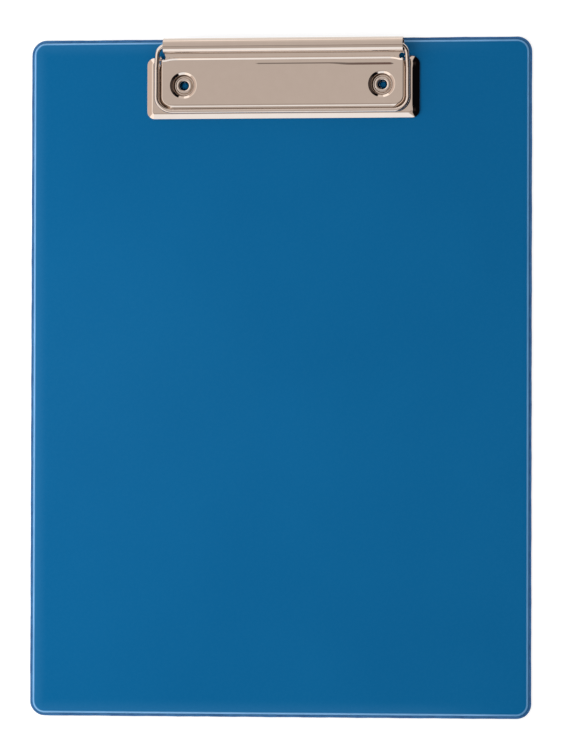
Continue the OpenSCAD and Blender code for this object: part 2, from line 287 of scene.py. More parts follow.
class Graph:
    """A small wrapper round one node tree. Most methods return a new node's output."""

    def __init__(self, owner, cleared=False):
        owner.use_nodes = True
        self.nodes = owner.node_tree.nodes
        self.links = owner.node_tree.links
        if cleared:
            self.nodes.clear()

    def add(self, kind, inputs, output=0, **settings):
        """A new node, whose inputs are plain values, colours or other nodes' outputs."""
        node = self.nodes.new("ShaderNode" + kind)
        for name, value in settings.items():
            setattr(node, name, value)
        for name, value in inputs.items():
            if isinstance(value, bpy.types.NodeSocket):
                self.links.new(value, node.inputs[name])
            elif node.inputs[name].type == "RGBA":
                node.inputs[name].default_value = (*value, 1.0)
            else:
                node.inputs[name].default_value = value
        return node.outputs[output] if node.outputs else None

    def calc(self, operation, a, b=0.0):
        return self.add("Math", {0: a, 1: b}, operation=operation)

    def times(self, a, b):
        return self.calc("MULTIPLY", a, b)

    def remap(self, value, low, high, new_low, new_high):
        return self.add("MapRange", {"Value": value, "From Min": low, "From Max": high,
                                     "To Min": new_low, "To Max": new_high}, "Result")

    def ease(self, value, low, high):
        """Smooth step from 0 at low to 1 at high, where high may be the smaller."""
        return self.add("MapRange", {"Value": value, "From Min": low, "From Max": high},
                        "Result", interpolation_type="SMOOTHSTEP")

    def blend(self, factor, low, high):
        return self.add("Mix", {MIX_FACTOR: factor, MIX_A: low, MIX_B: high}, MIX_RESULT,
                        data_type="RGBA")

    def place(self):
        """The object's own coordinates, in metres."""
        return self.add("TexCoord", {}, "Object")

    def along(self, axis):
        return self.add("SeparateXYZ", {0: self.place()}, axis)

    def seen_or_mirrored(self, seen, otherwise):
        """One value for camera, glossy and transmission rays, and another for the rest."""
        path = self.nodes.new("ShaderNodeLightPath").outputs
        mirrored = self.calc("MAXIMUM", path["Is Glossy Ray"], path["Is Transmission Ray"])
        either = self.calc("MAXIMUM", path["Is Camera Ray"], mirrored)
        return self.remap(either, 0.0, 1.0, otherwise, seen)


class Shader(Graph):
    """One material of the object, on Blender's Principled surface."""

    def __init__(self, name):
        self.material = bpy.data.materials.new(name)
        super().__init__(self.material)
        self.surface = self.nodes["Principled BSDF"]

    def set(self, **values):
        for name, value in values.items():
            self.surface.inputs[name.replace("_", " ")].default_value = value

    def connect(self, output, socket):
        self.links.new(output, self.surface.inputs[socket])

    def noise(self, scale, detail=2.0, roughness=0.5, stretch=(1, 1, 1)):
        scaled = self.add("Mapping", {"Vector": self.place(), "Scale": stretch}, "Vector")
        return self.add("TexNoise", {"Vector": scaled, "Scale": scale, "Detail": detail,
                                     "Roughness": roughness}, "Fac")

    def bump(self, height, distance, strength, below=None):
        """A bumped normal, laid over the one below where there is one."""
        inputs = {"Height": height, "Distance": distance, "Strength": strength}
        if below is not None:
            inputs["Normal"] = below
        return self.add("Bump", inputs, "Normal")

    def edge_inset(self):
        """Distance in from the board's rounded outline, in metres."""
        past_x, past_y = [self.calc("SUBTRACT", self.calc("ABSOLUTE", self.along(axis)),
                                    half - CORNER_R)
                          for axis, half in (("X", BOARD_W / 2), ("Y", BOARD_L / 2))]
        squares = [self.calc("POWER", self.calc("MAXIMUM", past, 0.0), 2.0)
                   for past in (past_x, past_y)]
        outside = self.calc("SQRT", self.calc("ADD", *squares))
        inside = self.calc("MINIMUM", self.calc("MAXIMUM", past_x, past_y), 0.0)
        return self.calc("SUBTRACT", CORNER_R, self.calc("ADD", outside, inside))


FILM_LIGHT = (0.0036, 0.1345, 0.333)
FILM_DARK = (0.0030, 0.1285, 0.322)
FILM_CREST_HIGHLIGHT = (0.260, 0.530, 0.870)
FILM_PAINTED_SHEEN = (0.0150, 0.155, 0.360)
WELD_LIGHT = (0.036, 0.168, 0.385)
WELD_DARK = (0.014, 0.100, 0.272)
PULP_DARK = (0.22, 0.19, 0.15)
PULP_LIGHT = (0.42, 0.37, 0.30)
NICKEL_PLATE, PLATE_TINT = (0.62, 0.53, 0.46), (0.635, 0.545, 0.475)
NICKEL_WIRE, WIRE_TINT = (0.66, 0.58, 0.52), (0.68, 0.60, 0.54)
NICKEL_RIVET, RIVET_TINT = (0.64, 0.56, 0.50), (0.62, 0.54, 0.48)
PAINTED_THROAT_SHADE = (0.070, 0.055, 0.055)

# Distances in from the outline between which the film's painted sheen and its painted crest
# highlight set in
SHEEN_IN = (8.5 * MM, 1.6 * MM)
CREST_HIGHLIGHT_IN = (2.40 * MM, 1.90 * MM)
CREST_HIGHLIGHT_OUT = (1.15 * MM, 1.55 * MM)
# Places across the board between which the painted sheen and painted crest highlight fade to the
# right, as painted shading of light from the left
SHEEN_FADE = (110 * MM, 60 * MM)
CREST_HIGHLIGHT_FADE = (90 * MM, 114 * MM)
CREST_HIGHLIGHT_LEFT_OVER = 0.62
# Heights between which painted shade darkens a rivet's throat, and between which that painted
# shade fades out towards its flange
THROAT_SHADE_HEIGHTS = (BOARD_TOP + 1.1 * MM, BOARD_TOP + 0.6 * MM)
FLANGE_END = (FLANGE_T, FLANGE_T + 0.4 * MM)


def film_material():
    """Blue plastic film over board: semi-gloss, with a fine grain and soft waves, a painted sheen
    inside its edges and a painted highlight on its shoulder's crest, which is partly lighter
    stretched film; both are painted dimmer to the right.
    """
    s = Shader("film")
    plain = s.blend(s.remap(s.noise(14, detail=3), 0.35, 0.65, 0, 1), FILM_DARK, FILM_LIGHT)
    inset = s.edge_inset()
    # Painted sheen: the film is lighter inside its edges and fades out to the right, as if lit
    # from the left
    haze_and_sheen = s.times(s.ease(inset, *SHEEN_IN), s.ease(s.along("X"), *SHEEN_FADE))
    sheened = s.blend(haze_and_sheen, plain, FILM_PAINTED_SHEEN)
    uneven = s.remap(s.noise(60, detail=3), 0.3, 0.7, 0.75, 1.0)
    # Painted highlight on the shoulder's crest, partly the lighter stretched film; to the right it
    # is painted dimmer, as shade away from the left light
    left_lit_falloff = s.remap(s.along("X"), *CREST_HIGHLIGHT_FADE, 1.0, CREST_HIGHLIGHT_LEFT_OVER)
    crest = s.times(s.ease(inset, *CREST_HIGHLIGHT_IN), s.ease(inset, *CREST_HIGHLIGHT_OUT))
    s.connect(s.blend(s.times(crest, s.times(uneven, left_lit_falloff)), sheened, FILM_CREST_HIGHLIGHT), "Base Color")
    s.connect(s.remap(s.noise(900, detail=1), 0.3, 0.7, 0.24, 0.30), "Roughness")
    waves = s.bump(s.noise(28, detail=1), 0.03 * MM, 0.3)
    s.connect(s.bump(s.noise(2600), 0.008 * MM, 0.4, below=waves), "Normal")
    s.set(Specular_IOR_Level=0.03)
    return s.material


def weld_material():
    """The pressed and trimmed seam round the edge: darker, uneven and ribbed."""
    s = Shader("weld")
    patch = s.noise(180, detail=4, roughness=0.7)
    s.connect(s.blend(s.remap(patch, 0.35, 0.65, 0, 1), WELD_DARK, WELD_LIGHT), "Base Color")
    s.connect(s.remap(patch, 0.3, 0.7, 0.42, 0.62), "Roughness")
    s.connect(s.bump(s.noise(700, detail=3, roughness=0.7), 0.10 * MM, 0.6), "Normal")
    s.set(Specular_IOR_Level=0.25)
    return s.material


def nickel_material(name, colour, tint, roughness, wave, line_stretch, shaded_throat=False):
    """Bright nickel plating: a warm mirror with faint haze, polishing lines and slow waves, and
    for rivets painted shade down the throat.
    """
    s = Shader(name)
    haze_and_sheen = s.noise(160, detail=4, roughness=0.65)
    plated = s.blend(s.remap(haze_and_sheen, 0.35, 0.7, 0, 1), colour, tint)
    if shaded_throat:
        # Painted shade: the rivet's bore is darkened from its mouth down to its flange, where it
        # lies in shade
        height = s.along("Z")
        painted_shade = s.times(s.ease(height, *THROAT_SHADE_HEIGHTS), s.ease(height, *FLANGE_END))
        plated = s.blend(painted_shade, plated, PAINTED_THROAT_SHADE)
    s.connect(plated, "Base Color")
    s.connect(s.remap(haze_and_sheen, 0.3, 0.75, roughness, roughness * 2.2), "Roughness")
    slow = s.bump(s.noise(42, detail=1), 0.05 * MM, wave)
    lines = s.noise(1500, stretch=line_stretch)
    s.connect(s.bump(lines, 0.001 * MM, 0.3, below=slow), "Normal")
    s.set(Metallic=1.0)
    return s.material


def greyboard_material():
    """Raw greyboard: pulp flecks and short fibres."""
    s = Shader("greyboard")
    fleck = s.noise(900, detail=4, roughness=0.7)
    s.connect(s.blend(s.remap(fleck, 0.35, 0.65, 0, 1), PULP_DARK, PULP_LIGHT), "Base Color")
    s.connect(s.remap(fleck, 0.3, 0.7, 0.85, 0.95), "Roughness")
    s.connect(s.bump(s.noise(1400, detail=3, stretch=(1, 1, 4)), 0.05 * MM, 0.6), "Normal")
    return s.material


film = film_material()
weld = weld_material()
plate_nickel = nickel_material("nickel_plate", NICKEL_PLATE, PLATE_TINT, 0.014, 0.10, (0.06, 1, 1))
wire_nickel = nickel_material("nickel_wire", NICKEL_WIRE, WIRE_TINT, 0.016, 0.08, (1, 0.1, 1))
rivet_nickel = nickel_material("nickel_rivet", NICKEL_RIVET, RIVET_TINT, 0.020, 0.10, (1, 1, 1),
                               shaded_throat=True)
greyboard = greyboard_material()


# ================================================================ board: the two films
CUT_EDGE = 0.06 * MM
WELD_FILLET = 0.28 * MM
WELD_END = 0.93 * SEAM_W
CROWN_DROP = 0.15 * MM
CROWN_END = 6.4 * MM
TRIM = 0.15 * MM
HOLE_STEPS = 48


def edge_profile():
    """The front film's skin from its trimmed edge inwards: (inset, height) pairs."""
    foot, foot_z = SEAM_W - WELD_FILLET, SEAM_Z + FILM_T
    points = [(0.0, SEAM_Z + 0.75 * FILM_T), (CUT_EDGE, foot_z), (foot, foot_z)]
    points += [(foot + WELD_FILLET * math.sin(a), foot_z + WELD_FILLET * (1 - math.cos(a)))
               for a in (math.radians(30), math.radians(60), math.radians(85))]
    for i in range(9):
        a = math.pi / 2 * i / 8
        points.append((SEAM_W + SHOULDER_R * (1 - math.cos(a)),
                       BOARD_TOP - SHOULDER_R * (1 - math.sin(a)) - crown(SEAM_W + SHOULDER_R)))
    for inset in (2.5 * MM, 3.1 * MM, 3.8 * MM, 4.6 * MM, 5.5 * MM, CROWN_END):
        points.append((inset, BOARD_TOP - crown(inset)))
    return points


def crown(inset):
    """How far the face falls away towards the edge, where the film is drawn down."""
    t = min(max((CROWN_END - inset) / (CROWN_END - SEAM_W - SHOULDER_R), 0.0), 1.0)
    return CROWN_DROP * t * t


def inner_profile():
    """The same film's underside, from the seam in over the core's edge."""
    inner_r = SHOULDER_R - FILM_T
    wall = SEAM_W + FILM_T
    top = BOARD_TOP - FILM_T
    points = [(0.0, SEAM_Z), (wall, SEAM_Z)]
    for i in range(5):
        a = math.pi / 2 * i / 4
        points.append((wall + inner_r * (1 - math.cos(a)), top - inner_r * (1 - math.sin(a))))
    points.append((CROWN_END, top))
    return points


def board_loop():
    """Points and inward directions round the board's outline."""
    flat_x, flat_y = BOARD_W / 2 - CORNER_R, BOARD_L / 2 - CORNER_R
    out = []
    for x, y in rounded_rect(BOARD_W, BOARD_L, CORNER_R, 0, 0, 1.5 * MM, 14):
        if abs(x) > flat_x and abs(y) > flat_y:
            cx, cy = math.copysign(flat_x, x), math.copysign(flat_y, y)
            inward = Vector((cx - x, cy - y)).normalized()
        elif abs(x) > flat_x:
            inward = Vector((-math.copysign(1, x), 0))
        else:
            inward = Vector((0, -math.copysign(1, y)))
        out.append((x, y, inward))
    return out


def trim_inset(x, y):
    """How far the trimmed edge wanders in from a true rectangle: three waves round it."""
    s = math.atan2(y * BOARD_W / BOARD_L, x) / math.pi
    wander = (math.sin(37 * s * math.pi + 1.3) + 0.6 * math.sin(91 * s * math.pi + 0.4)
              + 0.4 * math.sin(211 * s * math.pi + 2.2))
    return TRIM * (0.5 + 0.25 * wander)


def planar_cap(loop, holes, z, up):
    """Triangles over a loop with round holes: returns points, faces and each hole's loop."""
    coords = list(loop)
    edges = closed(range(len(loop)))
    hole_ids = []
    for hole in holes:
        ids = list(range(len(coords), len(coords) + HOLE_STEPS))
        coords += circle(*hole, HOLE_STEPS)
        edges += closed(ids)
        hole_ids.append(ids)
    points, tris = triangles(coords, edges, holes, 1e-9)
    if len(points) != len(coords):
        raise ValueError("the cap's outline crosses itself")
    faces = tris if up else [tri[::-1] for tri in tris]
    return [(x, y, z) for x, y in points], faces, hole_ids


def make_film(name, node, mirror, hole_r):
    """One film as a closed shell. mirror turns the front film over to make the back one."""
    loop = board_loop()
    profile = edge_profile()
    under = inner_profile()
    verts, faces = [], []
    count = len(loop)
    for inset, z in profile + under[::-1]:
        for x, y, d in loop:
            depth = inset + (trim_inset(x, y) if inset < SEAM_W / 2 else 0)
            verts.append((x + d.x * depth, y + d.y * depth, z))
    rings = [range(first, first + count) for first in range(0, len(verts), count)]
    for rank, next_rank in closed(range(len(rings))):
        if rank != len(profile) - 1:
            faces += band(rings[rank], rings[next_rank])
    holes = [(p.x, p.y, hole_r) for p in RIVETS.values()]
    for rank, up in ((len(profile) - 1, True), (len(profile), False)):
        rim = [verts[i] for i in rings[rank]]
        points, tris, hole_ids = planar_cap([p[:2] for p in rim], holes, rim[0][2], up)
        base = len(verts) - count
        verts += points[count:]
        place = [rank * count + i if i < count else base + i for i in range(len(points))]
        faces += [tuple(place[i] for i in tri) for tri in tris]
        hole_rings = [[place[i] for i in ids] for ids in hole_ids]
        if up:
            top_rings = hole_rings
        else:
            for top_ring, low_ring in zip(top_rings, hole_rings):
                faces += band(top_ring, low_ring)
    if mirror:
        verts = [(x, y, BOARD_TOP - z) for x, y, z in verts]
        faces = [tuple(reversed(f)) for f in faces]
    piece = new_piece(name, verts, faces, "board", "film", film)
    piece.data.materials.append(weld)
    for polygon in piece.data.polygons:
        mid = polygon.center
        inset = rect_distance(mid.x, mid.y, BOARD_W, BOARD_L, CORNER_R, 0, 0)
        if inset < WELD_END:
            polygon.material_index = 1
    tidy_normals(piece, 50)
    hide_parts(node)


def tidy_normals(piece, degrees):
    """Consistent outward faces, smooth but for edges sharper than the angle."""
    work = bmesh.new()
    work.from_mesh(piece.data)
    bmesh.ops.remove_doubles(work, verts=work.verts, dist=1e-8)
    bmesh.ops.recalc_face_normals(work, faces=work.faces)
    work.to_mesh(piece.data)
    work.free()
    piece.data.shade_smooth()
    piece.data.set_sharp_from_angle(angle=math.radians(degrees))


# ================================================================ clip plate
RIM_BEND = 0.28 * MM
RIM_WIDER = {"left": 0.06, "right": 0.38}
STEP_BEND = 0.26 * MM
STEP_OUT = STEP_RUN + STEP_FLOW_FOOT
STEP_FOOT_Y = PANEL_FRONT_Y - STEP_OUT
STEP_FAR_Y = PLATE_HI.y + 4 * SPINE_D
STEP_FOOT_RECT = (PANEL_W + 2 * STEP_OUT, STEP_FAR_Y - STEP_FOOT_Y, PANEL_R + STEP_OUT,
                  0, (STEP_FOOT_Y + STEP_FAR_Y) / 2)
# The front of the step rises in three parts: a steep wall, a flat apron and a soft shoulder
WALL_FROM = -0.08 * MM
WALL_RUN = 0.20 * MM
WALL_SHARE = 0.605
WALL_BEND = 0.08 * MM
APRON_RUN = 0.70 * MM
APRON_SHARE = 0.09
APRON_BEND = 0.15 * MM
SHOULDER_RUN = 0.98 * MM
SHOULDER_MARK = 0.95 * MM
FRONT_BEND = 0.34 * MM
# How far those parts reach back from the step's foot, and how far they keep off its corners
FRONT_REACH = 6.5 * MM
FRONT_FADE = 4 * MM
CORNER_KEEP = 1.5 * MM
CORNER_FADE = 3.5 * MM
# The neck's climb, its crest, the fall behind it and the dip that levels out to the roll
NECK_BEND = 0.14 * MM
CLIMB_Y = NECK_FOOT_Y + 0.90 * MM
CREST_RISE = 0.69 * MM
CREST_RUN = 0.87 * MM
CREST_BEND = 0.16 * MM
CREST_Y = CLIMB_Y + CREST_RUN
CREST_FALL_RUN = 0.6 * MM
NECK_DIP = 0.06 * MM
DIP_RUN = 2.0 * MM
DIP_BEND = 0.1 * MM
NOTCH_REACH = 3.0 * MM
NOTCH_DROP = 0.8 * MM
NECK_SIDE = PANEL_W / 2 - 0.6 * MM
NECK_ROWS_FROM = NECK_FOOT_Y - 2.6 * MM
CUP_BEND = 0.16 * MM
CUP_FOOT_BEND = 0.08 * MM
CUP_NECK_R = 4.95 * MM
CUP_SHOULDER_H = 0.78 * MM
# The dent begins at one x, and from another it is deeper and further forward
DENT_H = 0.285 * MM
DENT_W = 1.6 * MM
DENT_Y = NECK_FOOT_Y - 2.0 * MM
DENT_FROM_X = -18 * MM
DENT_FADE = 6 * MM
DEEPER_FROM_X = 22 * MM
DEEPER_FADE = 10 * MM
DENT_LEFT_SHARE = 0.87
DENT_SHIFT = 0.5 * MM
# The roll's lip is flattened: degrees past the top where that begins, is full and ends
LIP_FLAT = 0.15 * MM
LIP_FLAT_ANGLES = (32, 65, 105)
# Spacing of the plate's points, and how near two of them may come
PITCH = 2.2 * MM
ROLL_PITCH = 0.30 * MM
SIDE_PITCH = 0.45 * MM
APART = 0.025 * MM
CUP_STEPS = 56
BEND_STEPS = 12
NOTCH_STEPS = 40
# Places of points across a bend, in halves of its width
HALVES = (-1, -0.5, 0, 0.5, 1)
RIVET_X = (RIVETS["right"].x - RIVETS["left"].x) / 2
RIVET_Y = RIVETS["left"].y


def rim_stretch(x, y):
    """The rim is pressed wider along the plate's two ends, the more so on the right."""
    from_end = PLATE_W / 2 - abs(x)
    from_long_side = min(y - PLATE_FRONT_Y, PLATE_BACK_Y - y)
    at_end = smooth_step(0.5 + (from_long_side - from_end) / (2 * PLATE_R))
    return 1 + RIM_WIDER["right" if x > 0 else "left"] * at_end


def plate_height(x, y):
    """Height of the plate's top skin above the board. x is from the clip's own middle."""
    if y > PLATE_BACK_Y - 1e-7 and (y > PLATE_BACK_Y + 1e-7 or abs(x) < PANEL_W / 2):
        return PANEL_H + neck_rise(x, y)
    s_rim = rect_distance(x, y, *PLATE_RECT) / rim_stretch(x, y)
    ledge = RIM_EDGE_H + smooth_ramp(s_rim, RIM_TOP_RUN, LEDGE_H - RIM_EDGE_H, 0, RIM_BEND)
    s_step = panel_distance(x, y)
    side_lift = smooth_ramp(s_step, DRAWN_RUN, 1.0, STEP_BEND, STEP_BEND)
    s_wall = s_step - WALL_FROM
    front_lift = (smooth_ramp(s_wall, WALL_RUN, WALL_SHARE, WALL_BEND, WALL_BEND)
                  + smooth_ramp(s_wall - WALL_RUN, APRON_RUN, APRON_SHARE, WALL_BEND, APRON_BEND)
                  + smooth_ramp(s_wall - WALL_RUN - APRON_RUN, SHOULDER_RUN,
                                1 - WALL_SHARE - APRON_SHARE, APRON_BEND, FRONT_BEND))
    frontness = (smooth_step((STEP_FOOT_Y + FRONT_REACH - y) / FRONT_FADE)
                 * smooth_step((PANEL_W / 2 - CORNER_KEEP - abs(x)) / CORNER_FADE))
    lift = side_lift + frontness * (front_lift - side_lift)
    height = ledge + lift * (PANEL_H + neck_rise(x, y) - ledge)
    d = from_rivet(x, y)
    if d < CUP_TOP_R + 2 * CUP_BEND:
        wall_h = PANEL_H - SHEET_T - CUP_SHOULDER_H
        height = SHEET_T + smooth_ramp(d - CUP_FLOOR_R, CUP_NECK_R - CUP_FLOOR_R, wall_h,
                                       CUP_FOOT_BEND, CUP_BEND)
        height += smooth_ramp(d - CUP_NECK_R, CUP_TOP_R - CUP_NECK_R, CUP_SHOULDER_H,
                              CUP_BEND, CUP_BEND)
    if s_step > DRAWN_RUN + FRONT_BEND and y < PLATE_BACK_Y:
        height += panel_wave(x, y)
    return height


def from_rivet(x, v):
    """Distance from the nearer rivet's axis."""
    return math.hypot(abs(x) - RIVET_X, v - RIVET_Y)


def notch_drop(x):
    """How far the foot of the neck swings forward round the notches."""
    return NOTCH_DROP * math.exp(-((abs(x) - PANEL_W / 2 + NOTCH_INSET) / NOTCH_REACH) ** 2)


def neck_rise(x, y):
    """The neck climbs to a soft crest, dips behind it and levels out to the roll."""
    climb = smooth_ramp(y - CLIMB_Y + notch_drop(x), CREST_RUN, CREST_RISE, NECK_BEND, CREST_BEND)
    fall = smooth_step((y - CREST_Y) / CREST_FALL_RUN)
    level = smooth_ramp(y - CREST_Y - CREST_FALL_RUN, DIP_RUN, NECK_DIP, DIP_BEND, DIP_BEND)
    return climb - (CREST_RISE - NECK_RISE + NECK_DIP) * fall + level


def panel_wave(x, y):
    """Shallow dent along the foot of the neck, deeper to the right, left by the press."""
    deeper = smooth_step((x - DEEPER_FROM_X) / DEEPER_FADE)
    begun = smooth_step((x - DENT_FROM_X) / DENT_FADE)
    depth = DENT_LEFT_SHARE * begun + (1 - DENT_LEFT_SHARE) * deeper
    depth *= DENT_H * smooth_step((PANEL_W / 2 - x) / DENT_FADE)
    return -depth * math.exp(-((y - DENT_Y + DENT_SHIFT * deeper) / DENT_W) ** 2)


def panel_distance(x, y):
    """Distance in from the foot of the step, whose outline runs on behind the plate."""
    return rect_distance(x, y, *STEP_FOOT_RECT)


def plate_point(x, v):
    """The top skin in the frame: v runs back along the board and then on round the roll."""
    if v <= SPINE_Y:
        return Vector((x + CLIP_X, v, BOARD_TOP + plate_height(x, v)))
    a = (v - SPINE_Y) / BORE_R
    past_top = math.degrees(a) - 180
    begin, full, end = LIP_FLAT_ANGLES
    flatness = smooth_step((past_top - begin) / (full - begin))
    flatness *= 1 - smooth_step((past_top - full) / (end - full))
    r = BORE_R + LIP_FLAT * flatness
    return Vector((x + CLIP_X, SPINE_Y + r * math.sin(a), SPINE_Z - r * math.cos(a)))


def plate_normal(x, v):
    step = 0.004 * MM
    across = plate_point(x + step, v) - plate_point(x - step, v)
    along = plate_point(x, v + step) - plate_point(x, v - step)
    return across.cross(along).normalized()


def plate_outline():
    """The sheet as it is cut, before it is bent: one loop, anticlockwise."""
    half = PLATE_W / 2
    front, back = PLATE_FRONT_Y + PLATE_R, PLATE_BACK_Y - PLATE_R
    flat, quarter = half - PLATE_R, math.pi / 2
    points = arc(flat, front, PLATE_R, -quarter, 0, BEND_STEPS)
    points += line_points(points.pop(), (half, back), PITCH)
    points += arc(flat, back, PLATE_R, 0, quarter, BEND_STEPS)
    points += line_points(points.pop(), (NOTCH_X + NOTCH_R, PLATE_BACK_Y), PITCH)
    open_r = math.acos((STRIP_R - NOTCH_X) / NOTCH_R)
    points += arc(NOTCH_X, PLATE_BACK_Y, NOTCH_R, 0, open_r - 2 * math.pi, NOTCH_STEPS)
    points += line_points(points.pop(), (STRIP_R, SHEET_END), ROLL_PITCH)
    points += line_points((STRIP_R, SHEET_END), (STRIP_L, SHEET_END), PITCH)
    open_l = math.acos((STRIP_L + NOTCH_X) / NOTCH_R)
    left_top = PLATE_BACK_Y + NOTCH_R * math.sin(open_l)
    points += line_points((STRIP_L, SHEET_END), (STRIP_L, left_top), ROLL_PITCH)
    points += arc(-NOTCH_X, PLATE_BACK_Y, NOTCH_R, open_l, -math.pi, NOTCH_STEPS)
    points += line_points(points.pop(), (-flat, PLATE_BACK_Y), PITCH)
    points += arc(-flat, back, PLATE_R, quarter, math.pi, BEND_STEPS)
    points += line_points(points.pop(), (-half, front), PITCH)
    points += arc(-flat, front, PLATE_R, math.pi, 3 * quarter, BEND_STEPS)
    points += line_points(points.pop(), (flat, PLATE_FRONT_Y), PITCH)
    return points


def bend_points():
    """Points along the bends of the rim and the step, so that each bend is crisp."""
    points = []
    rim_marks = [0.07 * MM, 0.35 * RIM_TOP_RUN, 0.7 * RIM_TOP_RUN]
    rim_marks += [RIM_TOP_RUN + RIM_BEND * t for t in HALVES]
    for inset in rim_marks:
        for x, y in rounded_rect(*PLATE_RECT, PITCH, BEND_STEPS):
            cx = min(max(x, PLATE_R - PLATE_W / 2), PLATE_W / 2 - PLATE_R)
            cy = min(max(y, PLATE_MID_Y + PLATE_R - PLATE_L / 2),
                     PLATE_MID_Y + PLATE_L / 2 - PLATE_R)
            share = inset * rim_stretch(x, y) / PLATE_R
            points.append((x + (cx - x) * share, y + (cy - y) * share))
    step_marks = [STEP_BEND * t for t in HALVES]
    step_marks += [WALL_FROM + WALL_BEND * t for t in (-1, 0, 1)]
    step_marks += [WALL_FROM + WALL_RUN + APRON_RUN + APRON_BEND * t for t in (-1, 0, 1)]
    step_marks += [SHOULDER_MARK]
    step_marks += [DRAWN_RUN + STEP_BEND * t for t in (-2, -1.5, -1, -0.5, 0, 0.5, 1)]
    for inset in step_marks:
        w, l, r, cx, cy = STEP_FOOT_RECT
        points += rounded_rect(w - 2 * inset, l - 2 * inset, max(r - inset, 0.02 * MM), cx, cy,
                               PITCH, BEND_STEPS)
    # On the neck only its own straight rows are wanted
    return [(x, v) for x, v in points if abs(x) >= NECK_SIDE or v <= NECK_ROWS_FROM]


def inside_plate(x, v):
    """Whether a point of the flat pattern is on the sheet, a little in from its cut edge."""
    gap = 0.03 * MM
    in_notch = math.hypot(abs(x) - NOTCH_X, v - PLATE_BACK_Y) < NOTCH_R + gap
    if in_notch or from_rivet(x, v) < CUP_HOLE_R + gap:
        return False
    if v < PLATE_BACK_Y - gap:
        return rect_distance(x, v, *PLATE_RECT) > gap
    on_strip = abs(x - SPINE_OFFSET) < SPINE_W / 2 - gap
    if v < PLATE_BACK_Y + gap:
        return on_strip and abs(x) < NOTCH_X
    return on_strip and v < SHEET_END - gap


def cup_rings():
    """Radii of the rings of points round each rivet, from its hole out over the cup's bends."""
    rings = [CUP_HOLE_R, 2.9 * MM, 3.6 * MM]
    rings += [CUP_FLOOR_R - CUP_FOOT_BEND, CUP_FLOOR_R, CUP_FLOOR_R + CUP_FOOT_BEND]
    for bend_r in (CUP_NECK_R, CUP_TOP_R):
        rings += [bend_r + CUP_BEND * t for t in HALVES]
    return rings + [(CUP_NECK_R + CUP_TOP_R) / 2]


def neck_points():
    """Rows of points along the dent, over the neck and round the roll."""
    columns = round((STRIP_R - STRIP_L) / PITCH)
    column_x = [STRIP_L + (STRIP_R - STRIP_L) * i / columns for i in range(columns + 1)]
    rows = [DENT_Y + DENT_W * t for t in (-2, -1.5, -1, -0.5, 0, 0.25, 0.5, 0.75, 1.0, 1.25, 1.5)]
    rows += [CREST_Y + CREST_FALL_RUN * t for t in (0, 0.25, 0.5, 0.75, 1, 1.3, 2.5, 4, 4.6, 7)]
    roll_rows = round(BORE_R * ROLL_END / ROLL_PITCH)
    rows += [SPINE_Y + BORE_R * ROLL_END * i / roll_rows for i in range(roll_rows)]
    points = [(x, v) for v in rows for x in column_x if v > PLATE_BACK_Y or abs(x) < NECK_SIDE]
    climbs = [NECK_BEND * t for t in HALVES] + [CREST_RUN / 2]
    climbs += [CREST_RUN + CREST_BEND * t for t in HALVES]
    side_x = [side * (PANEL_W / 2 - SIDE_PITCH * i) for side in (-1, 1) for i in range(14)]
    points += [(x, CLIMB_Y - notch_drop(x) + rise) for rise in climbs for x in column_x + side_x]
    return points


def panel_points():
    """A plain grid over the panel, clear of its step, its cups and the neck."""
    points = []
    for i in range(1, round(PLATE_W / PITCH)):
        for k in range(1, round(PLATE_L / PITCH)):
            x, v = -PLATE_W / 2 + i * PITCH, PLATE_FRONT_Y + k * PITCH
            on_panel = panel_distance(x, v) > DRAWN_RUN + 1.2 * MM and v < NECK_ROWS_FROM
            if on_panel and from_rivet(x, v) > CUP_TOP_R + MM:
                points.append((x, v))
    return points


def keep_apart(coords, loose):
    """Adds the loose points that lie on the sheet and aren't close to one already taken."""
    taken = {(round(x / APART), round(v / APART)) for x, v in coords}
    for x, v in loose:
        cell = (round(x / APART), round(v / APART))
        near = {(cell[0] + i, cell[1] + j) for i in (-1, 0, 1) for j in (-1, 0, 1)}
        if inside_plate(x, v) and not near & taken:
            taken.add(cell)
            coords.append((x, v))


def plate_pattern():
    """Triangles of the flat pattern: (x, v) points and faces."""
    coords = plate_outline()
    edges = closed(range(len(coords)))
    holes = [(side * RIVET_X, RIVET_Y, CUP_HOLE_R) for side in (-1, 1)]
    for x, v, _ in holes:
        edges += closed(range(len(coords), len(coords) + CUP_STEPS))
        for r in cup_rings():
            coords += circle(x, v, r, CUP_STEPS)
    keep_apart(coords, bend_points() + neck_points() + panel_points())
    return triangles(coords, edges, holes, 1e-7)


def make_clip_plate():
    """The pressed sheet: both skins of the bent pattern, joined along every cut edge."""
    points, tris = plate_pattern()
    count = len(points)
    tops = [plate_point(x, v) for x, v in points]
    normals = [plate_normal(x, v) for x, v in points]
    unders = [top - normal * SHEET_T for top, normal in zip(tops, normals)]
    directed = {(tri[i], tri[(i + 1) % 3]) for tri in tris for i in range(3)}
    rim_edges = [(a, b) for a, b in directed if (b, a) not in directed]
    for i in {i for edge in rim_edges for i in edge}:
        x, v = points[i]
        on_outline = rect_distance(x, v, *PLATE_RECT) < 0.01 * MM
        if on_outline and v <= PLATE_BACK_Y + 0.001 * MM and tops[i].z < BOARD_TOP + MM:
            unders[i] = Vector((tops[i].x, tops[i].y, BOARD_TOP))
    verts = tops + unders
    faces = tris + [tuple(i + count for i in tri[::-1]) for tri in tris]
    corner_normals = [normals[i] for tri in tris for i in tri]
    corner_normals += [-normals[i] for tri in tris for i in tri[::-1]]
    for a, b in rim_edges:
        faces.append((b, a, a + count, b + count))
        flat = (verts[a] - verts[b]).cross(verts[b + count] - verts[b]).normalized()
        corner_normals += [flat] * 4
    return verts, faces, corner_normals


# ================================================================ wire bail
RUN_Y = BAIL_LO.y + WIRE_R
